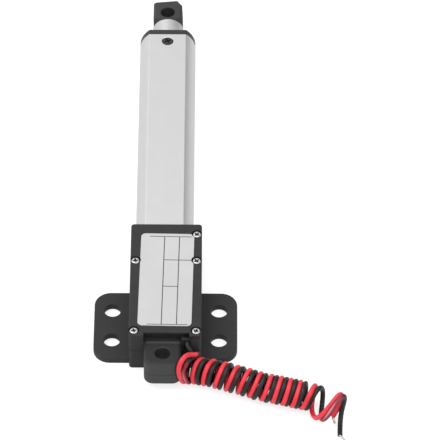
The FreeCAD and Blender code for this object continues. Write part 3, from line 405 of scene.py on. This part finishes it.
LOOK = {
    "base_housing": "black_shell", "cover_housing": "black_shell", "cover_screws": "plated_screw",
    "rating_label": "label_film", "wire_grommet": "black_rubber", "rear_eye": "rear_eye",
    "outer_tube": "anodised_tube", "front_bush": "black_bush", "rod_wiper": "black_rubber", "bush_screw": "black_oxide",
    "piston_rod": "rod_metal", "front_eye": "black_eye", "drive_nut": "brass", "rod_guide": "white_guide",
    "lead_screw": "bearing_steel", "bearing_inner_ring": "bearing_steel", "bearing_outer_ring": "bearing_steel",
    "bearing_balls": "bearing_steel", "bearing_cage": "brass", "bearing_carrier": "white_guide",
    "gearbox_rear_plate": "motor_steel", "gearbox_front_plate": "motor_steel", "gearbox_posts": "bearing_steel",
    "gear_axle": "bearing_steel", "motor_pinion": "brass", "first_gear": "white_guide", "second_gear": "white_guide",
    "third_gear": "bearing_steel", "output_gear": "bearing_steel", "motor_can": "motor_steel",
    "motor_end_cap": "motor_plastic", "brush_terminals": "copper", "motor_magnets": "magnet", "motor_front_bush": "brass",
    "rotor_shaft": "bearing_steel", "rotor_core": "laminations", "rotor_windings": "copper", "commutator": "copper",
    "switch_board": "board", "limit_switches": "switch_body", "blocking_diodes": "switch_body",
    "red_lead_inner": "red_insulation", "black_lead_inner": "black_insulation", "motor_wires": "red_insulation",
    "black_lead_entry": "black_insulation", "red_lead_entry": "red_insulation", "lead_coil": "red_insulation",
    "black_lead_tail": "black_insulation", "red_lead_tail": "red_insulation", "black_lead_tip": "tinned_strand",
    "red_lead_tip": "tinned_strand",
}


def nearness(nt, position, places):
    """1 close to any of the places (centre, full, none in mm), 0 away from them."""
    near = None
    for centre, full, none in places:
        d = nt.nodes.new("ShaderNodeVectorMath")
        d.operation = "DISTANCE"
        nt.links.new(position, d.inputs[0])
        d.inputs[1].default_value = tuple(c * MM for c in centre)
        r = nt.nodes.new("ShaderNodeMapRange")
        r.interpolation_type = "SMOOTHSTEP"
        r.inputs["From Min"].default_value, r.inputs["From Max"].default_value = full * MM, none * MM
        r.inputs["To Min"].default_value, r.inputs["To Max"].default_value = 1.0, 0.0
        nt.links.new(d.outputs["Value"], r.inputs["Value"])
        near = r.outputs["Result"] if near is None else maths(nt, "MAXIMUM", near, r.outputs["Result"])
    return near


def facing(nt, normal, way, lo, hi):
    """How far the surface faces one way."""
    d = nt.nodes.new("ShaderNodeVectorMath")
    d.operation = "DOT_PRODUCT"
    nt.links.new(normal, d.inputs[0])
    d.inputs[1].default_value = Vector(way).normalized()
    r = nt.nodes.new("ShaderNodeMapRange")
    r.interpolation_type = "SMOOTHSTEP"
    r.inputs["From Min"].default_value, r.inputs["From Max"].default_value = lo, hi
    nt.links.new(d.outputs["Value"], r.inputs["Value"])
    return r.outputs["Result"]


def tinted(nt, socket, colour, factor, blend="MIX"):
    """Mixes a colour into what feeds a socket."""
    mix = nt.nodes.new("ShaderNodeMix")
    mix.data_type = "RGBA"
    mix.blend_type = blend
    nt.links.new(socket.links[0].from_socket, mix.inputs[6])
    mix.inputs[7].default_value = (*colour, 1.0)
    nt.links.new(factor, mix.inputs[0])
    nt.links.new(mix.outputs[2], socket)


# painted reflection and painted highlight: on the open turns the black lead gets a painted red reflection of the red
# lead beside it on one side, and a pale painted highlight line
nt = M["black_insulation"].node_tree
shade = nt.nodes["Principled BSDF"].inputs["Base Color"]
geo = nt.nodes.new("ShaderNodeNewGeometry")
for places, side, line in (
        ([((42.6, -34.9, 3.4), 2.6, 3.8), ((44.2, -35.0, 6.0), 2.6, 3.6), ((45.7, -33.6, 8.3), 2.2, 3.2)],
         (-0.45, -0.60, 0.50), (-0.60, -0.56, 0.52)),
        ([((5.5, -20.9, 3.6), 2.4, 3.2), ((5.3, -20.2, 6.2), 1.8, 2.8)], (-0.55, -0.80, 0.12), (-0.40, -0.90, 0.14))):
    open_turn = nearness(nt, geo.outputs["Position"], places)
    # painted reflection: dark red on the side that faces the red lead
    tinted(nt, shade, (0.27, 0.024, 0.036),
           maths(nt, "MULTIPLY", open_turn, facing(nt, geo.outputs["Normal"], side, -0.25, 0.45)))
    # painted highlight: a pale pink line along the strand
    tinted(nt, shade, (0.60, 0.21, 0.26),
           maths(nt, "MULTIPLY", open_turn, facing(nt, geo.outputs["Normal"], line, 0.80, 0.98)))

# painted shade: the red lead is darkened in its outlet and behind the first turn, where shade falls
nt = M["red_insulation"].node_tree
geo = nt.nodes.new("ShaderNodeNewGeometry")
# painted shade in the outlet notch
tinted(nt, nt.nodes["Principled BSDF"].inputs["Base Color"], (0.05, 0.012, 0.014),
       nearness(nt, geo.outputs["Position"], [((6.6, -14.4, 6.8), 1.8, 2.6), ((6.2, -15.3, 3.2), 1.8, 2.6),
                                                   ((6.1, -14.0, 8.8), 1.0, 1.6)]))
# painted shade where the lead passes behind the first turn
tinted(nt, nt.nodes["Principled BSDF"].inputs["Base Color"], (0.20, 0.010, 0.014),
       nearness(nt, geo.outputs["Position"], [((8.9, -15.1, 7.2), 1.9, 2.7)]))

# painted shade and painted light: the rear eye's top is darkened with painted shade, and its end and neck are lightened
# with painted light
nt = M["rear_eye"].node_tree
geo = nt.nodes.new("ShaderNodeNewGeometry")
# painted shade on the upward faces of the eye's top
tinted(nt, nt.nodes["Principled BSDF"].inputs["Base Color"], (0.006, 0.006, 0.006),
       maths(nt, "MULTIPLY", facing(nt, geo.outputs["Normal"], (0, 0, 1), 0.45, 0.95),
             facing(nt, geo.outputs["Position"], (0, -1, 0), 14.1 * MM, 14.5 * MM)))
# painted light on the neck
tinted(nt, nt.nodes["Principled BSDF"].inputs["Base Color"], (0.040, 0.040, 0.040),
       facing(nt, geo.outputs["Position"], (0, 1, 0), -14.3 * MM, -14.0 * MM))
# painted light on the end face
tinted(nt, nt.nodes["Principled BSDF"].inputs["Base Color"], (0.032, 0.032, 0.0325),
       facing(nt, geo.outputs["Normal"], (0, -1, 0), 0.45, 0.95))

# painted light: the rear wall beside the wire outlet is lightened, a little bluish, against the shade the coil casts
# there
nt = M["black_shell"].node_tree
geo = nt.nodes.new("ShaderNodeNewGeometry")
tinted(nt, nt.nodes["Principled BSDF"].inputs["Base Color"], (0.038, 0.045, 0.045),
       nearness(nt, geo.outputs["Position"], [((8.7, -13.8, 9.0), 2.0, 3.4), ((8.7, -13.8, 6.0), 2.0, 3.4)]))

# painted shade: an ambient-occlusion mask darkens the plated screws inside their recesses
nt = M["plated_screw"].node_tree
ao = nt.nodes.new("ShaderNodeAmbientOcclusion")
ao.only_local = True
ao.samples = 8
ao.inputs["Distance"].default_value = 0.7 * MM
dark = nt.nodes.new("ShaderNodeMapRange")
dark.inputs["From Min"].default_value, dark.inputs["From Max"].default_value = 0.55, 0.95
dark.inputs["To Min"].default_value, dark.inputs["To Max"].default_value = 1.0, 0.0
nt.links.new(ao.outputs["AO"], dark.inputs["Value"])
tinted(nt, nt.nodes["Principled BSDF"].inputs["Base Color"], (0.05, 0.05, 0.05), dark.outputs["Result"])


def wear(obj, material):
    obj.data.materials.clear()
    obj.data.materials.append(M[material])


for name, obj in nodes.items():
    wear(obj, LOOK[name])
wear(red_lead, "red_insulation")
wear(black_lead, "black_insulation")
wear(red_strands, "tinned_strand")
wear(black_strands, "tinned_strand")

# ---------------------------------------------------------------- what rides on what
for piece, slot in ((red_lead, "red_insulation"), (black_lead, "black_insulation"), (red_strands, "tinned_strand"),
                    (black_strands, "tinned_strand")):
    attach(piece, "housing")
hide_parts("red_lead_entry", "lead_coil", "red_lead_tail")
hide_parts("black_lead_entry", "black_lead_tail")
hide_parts("red_lead_tip")
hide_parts("black_lead_tip")

# ---------------------------------------------------------------- floor and light
bm = bmesh.new()
bmesh.ops.create_grid(bm, x_segments=2, y_segments=2, size=3.0)
me = bpy.data.meshes.new("floor")
bm.to_mesh(me)
bm.free()
floor = link(bpy.data.objects.new("floor", me))
floor.location.z = -0.00004
fm, fnt, fb = new_mat("floor")
fb.inputs["Base Color"].default_value = (0.42, 0.42, 0.42, 1)
fb.inputs["Roughness"].default_value = 0.9
fb.inputs["Specular IOR Level"].default_value = 0.0
# a light table: a little of its own light keeps the shadows faint
fb.inputs["Emission Color"].default_value = (1, 1, 1, 1)
seen = fnt.nodes.new("ShaderNodeLightPath")
glow = fnt.nodes.new("ShaderNodeMapRange")
glow.inputs["To Min"].default_value, glow.inputs["To Max"].default_value = 0.40, 0.72
fnt.links.new(seen.outputs["Is Camera Ray"], glow.inputs["Value"])
fnt.links.new(glow.outputs["Result"], fb.inputs["Emission Strength"])
me.materials.append(fm)

# white studio, a little darker low on the right beyond the object
world = bpy.data.worlds.new("world")
bpy.context.scene.world = world
world.use_nodes = True
wn = world.node_tree
wb = wn.nodes["Background"]
wtc = wn.nodes.new("ShaderNodeTexCoord")
dot = wn.nodes.new("ShaderNodeVectorMath")
dot.operation = "DOT_PRODUCT"
wn.links.new(wtc.outputs["Generated"], dot.inputs[0])
dot.inputs[1].default_value = Vector((0.74, 0.66, 0.12)).normalized()
dim = wn.nodes.new("ShaderNodeMapRange")
dim.interpolation_type = "SMOOTHSTEP"
dim.inputs["From Min"].default_value, dim.inputs["From Max"].default_value = 0.55, 0.95
dim.inputs["To Min"].default_value, dim.inputs["To Max"].default_value = 0.95, 0.30
wn.links.new(dot.outputs["Value"], dim.inputs["Value"])
wb.inputs["Color"].default_value = (1, 1, 1, 1)
wn.links.new(dim.outputs["Result"], wb.inputs["Strength"])


def softbox(name, at, aim, size, power, colour=(1, 1, 1)):
    li = bpy.data.lights.new(name, "AREA")
    li.shape = "RECTANGLE"
    li.size, li.size_y = size
    li.energy = power
    li.color = colour
    ob = link(bpy.data.objects.new(name, li))
    ob.location = at
    ob.rotation_euler = (Vector(aim) - Vector(at)).to_track_quat("-Z", "Y").to_euler()
    return ob


softbox("key", (-0.45, 0.1, 0.9), (0, 0.03, 0), (0.8, 0.8), 4.0)
softbox("fill", (0.5, -0.4, 0.8), (0, 0.03, 0), (0.8, 0.8), 2.0)

view = bpy.context.scene.view_settings
view.view_transform = "Standard"
view.look = "None"
view.exposure = 0.0
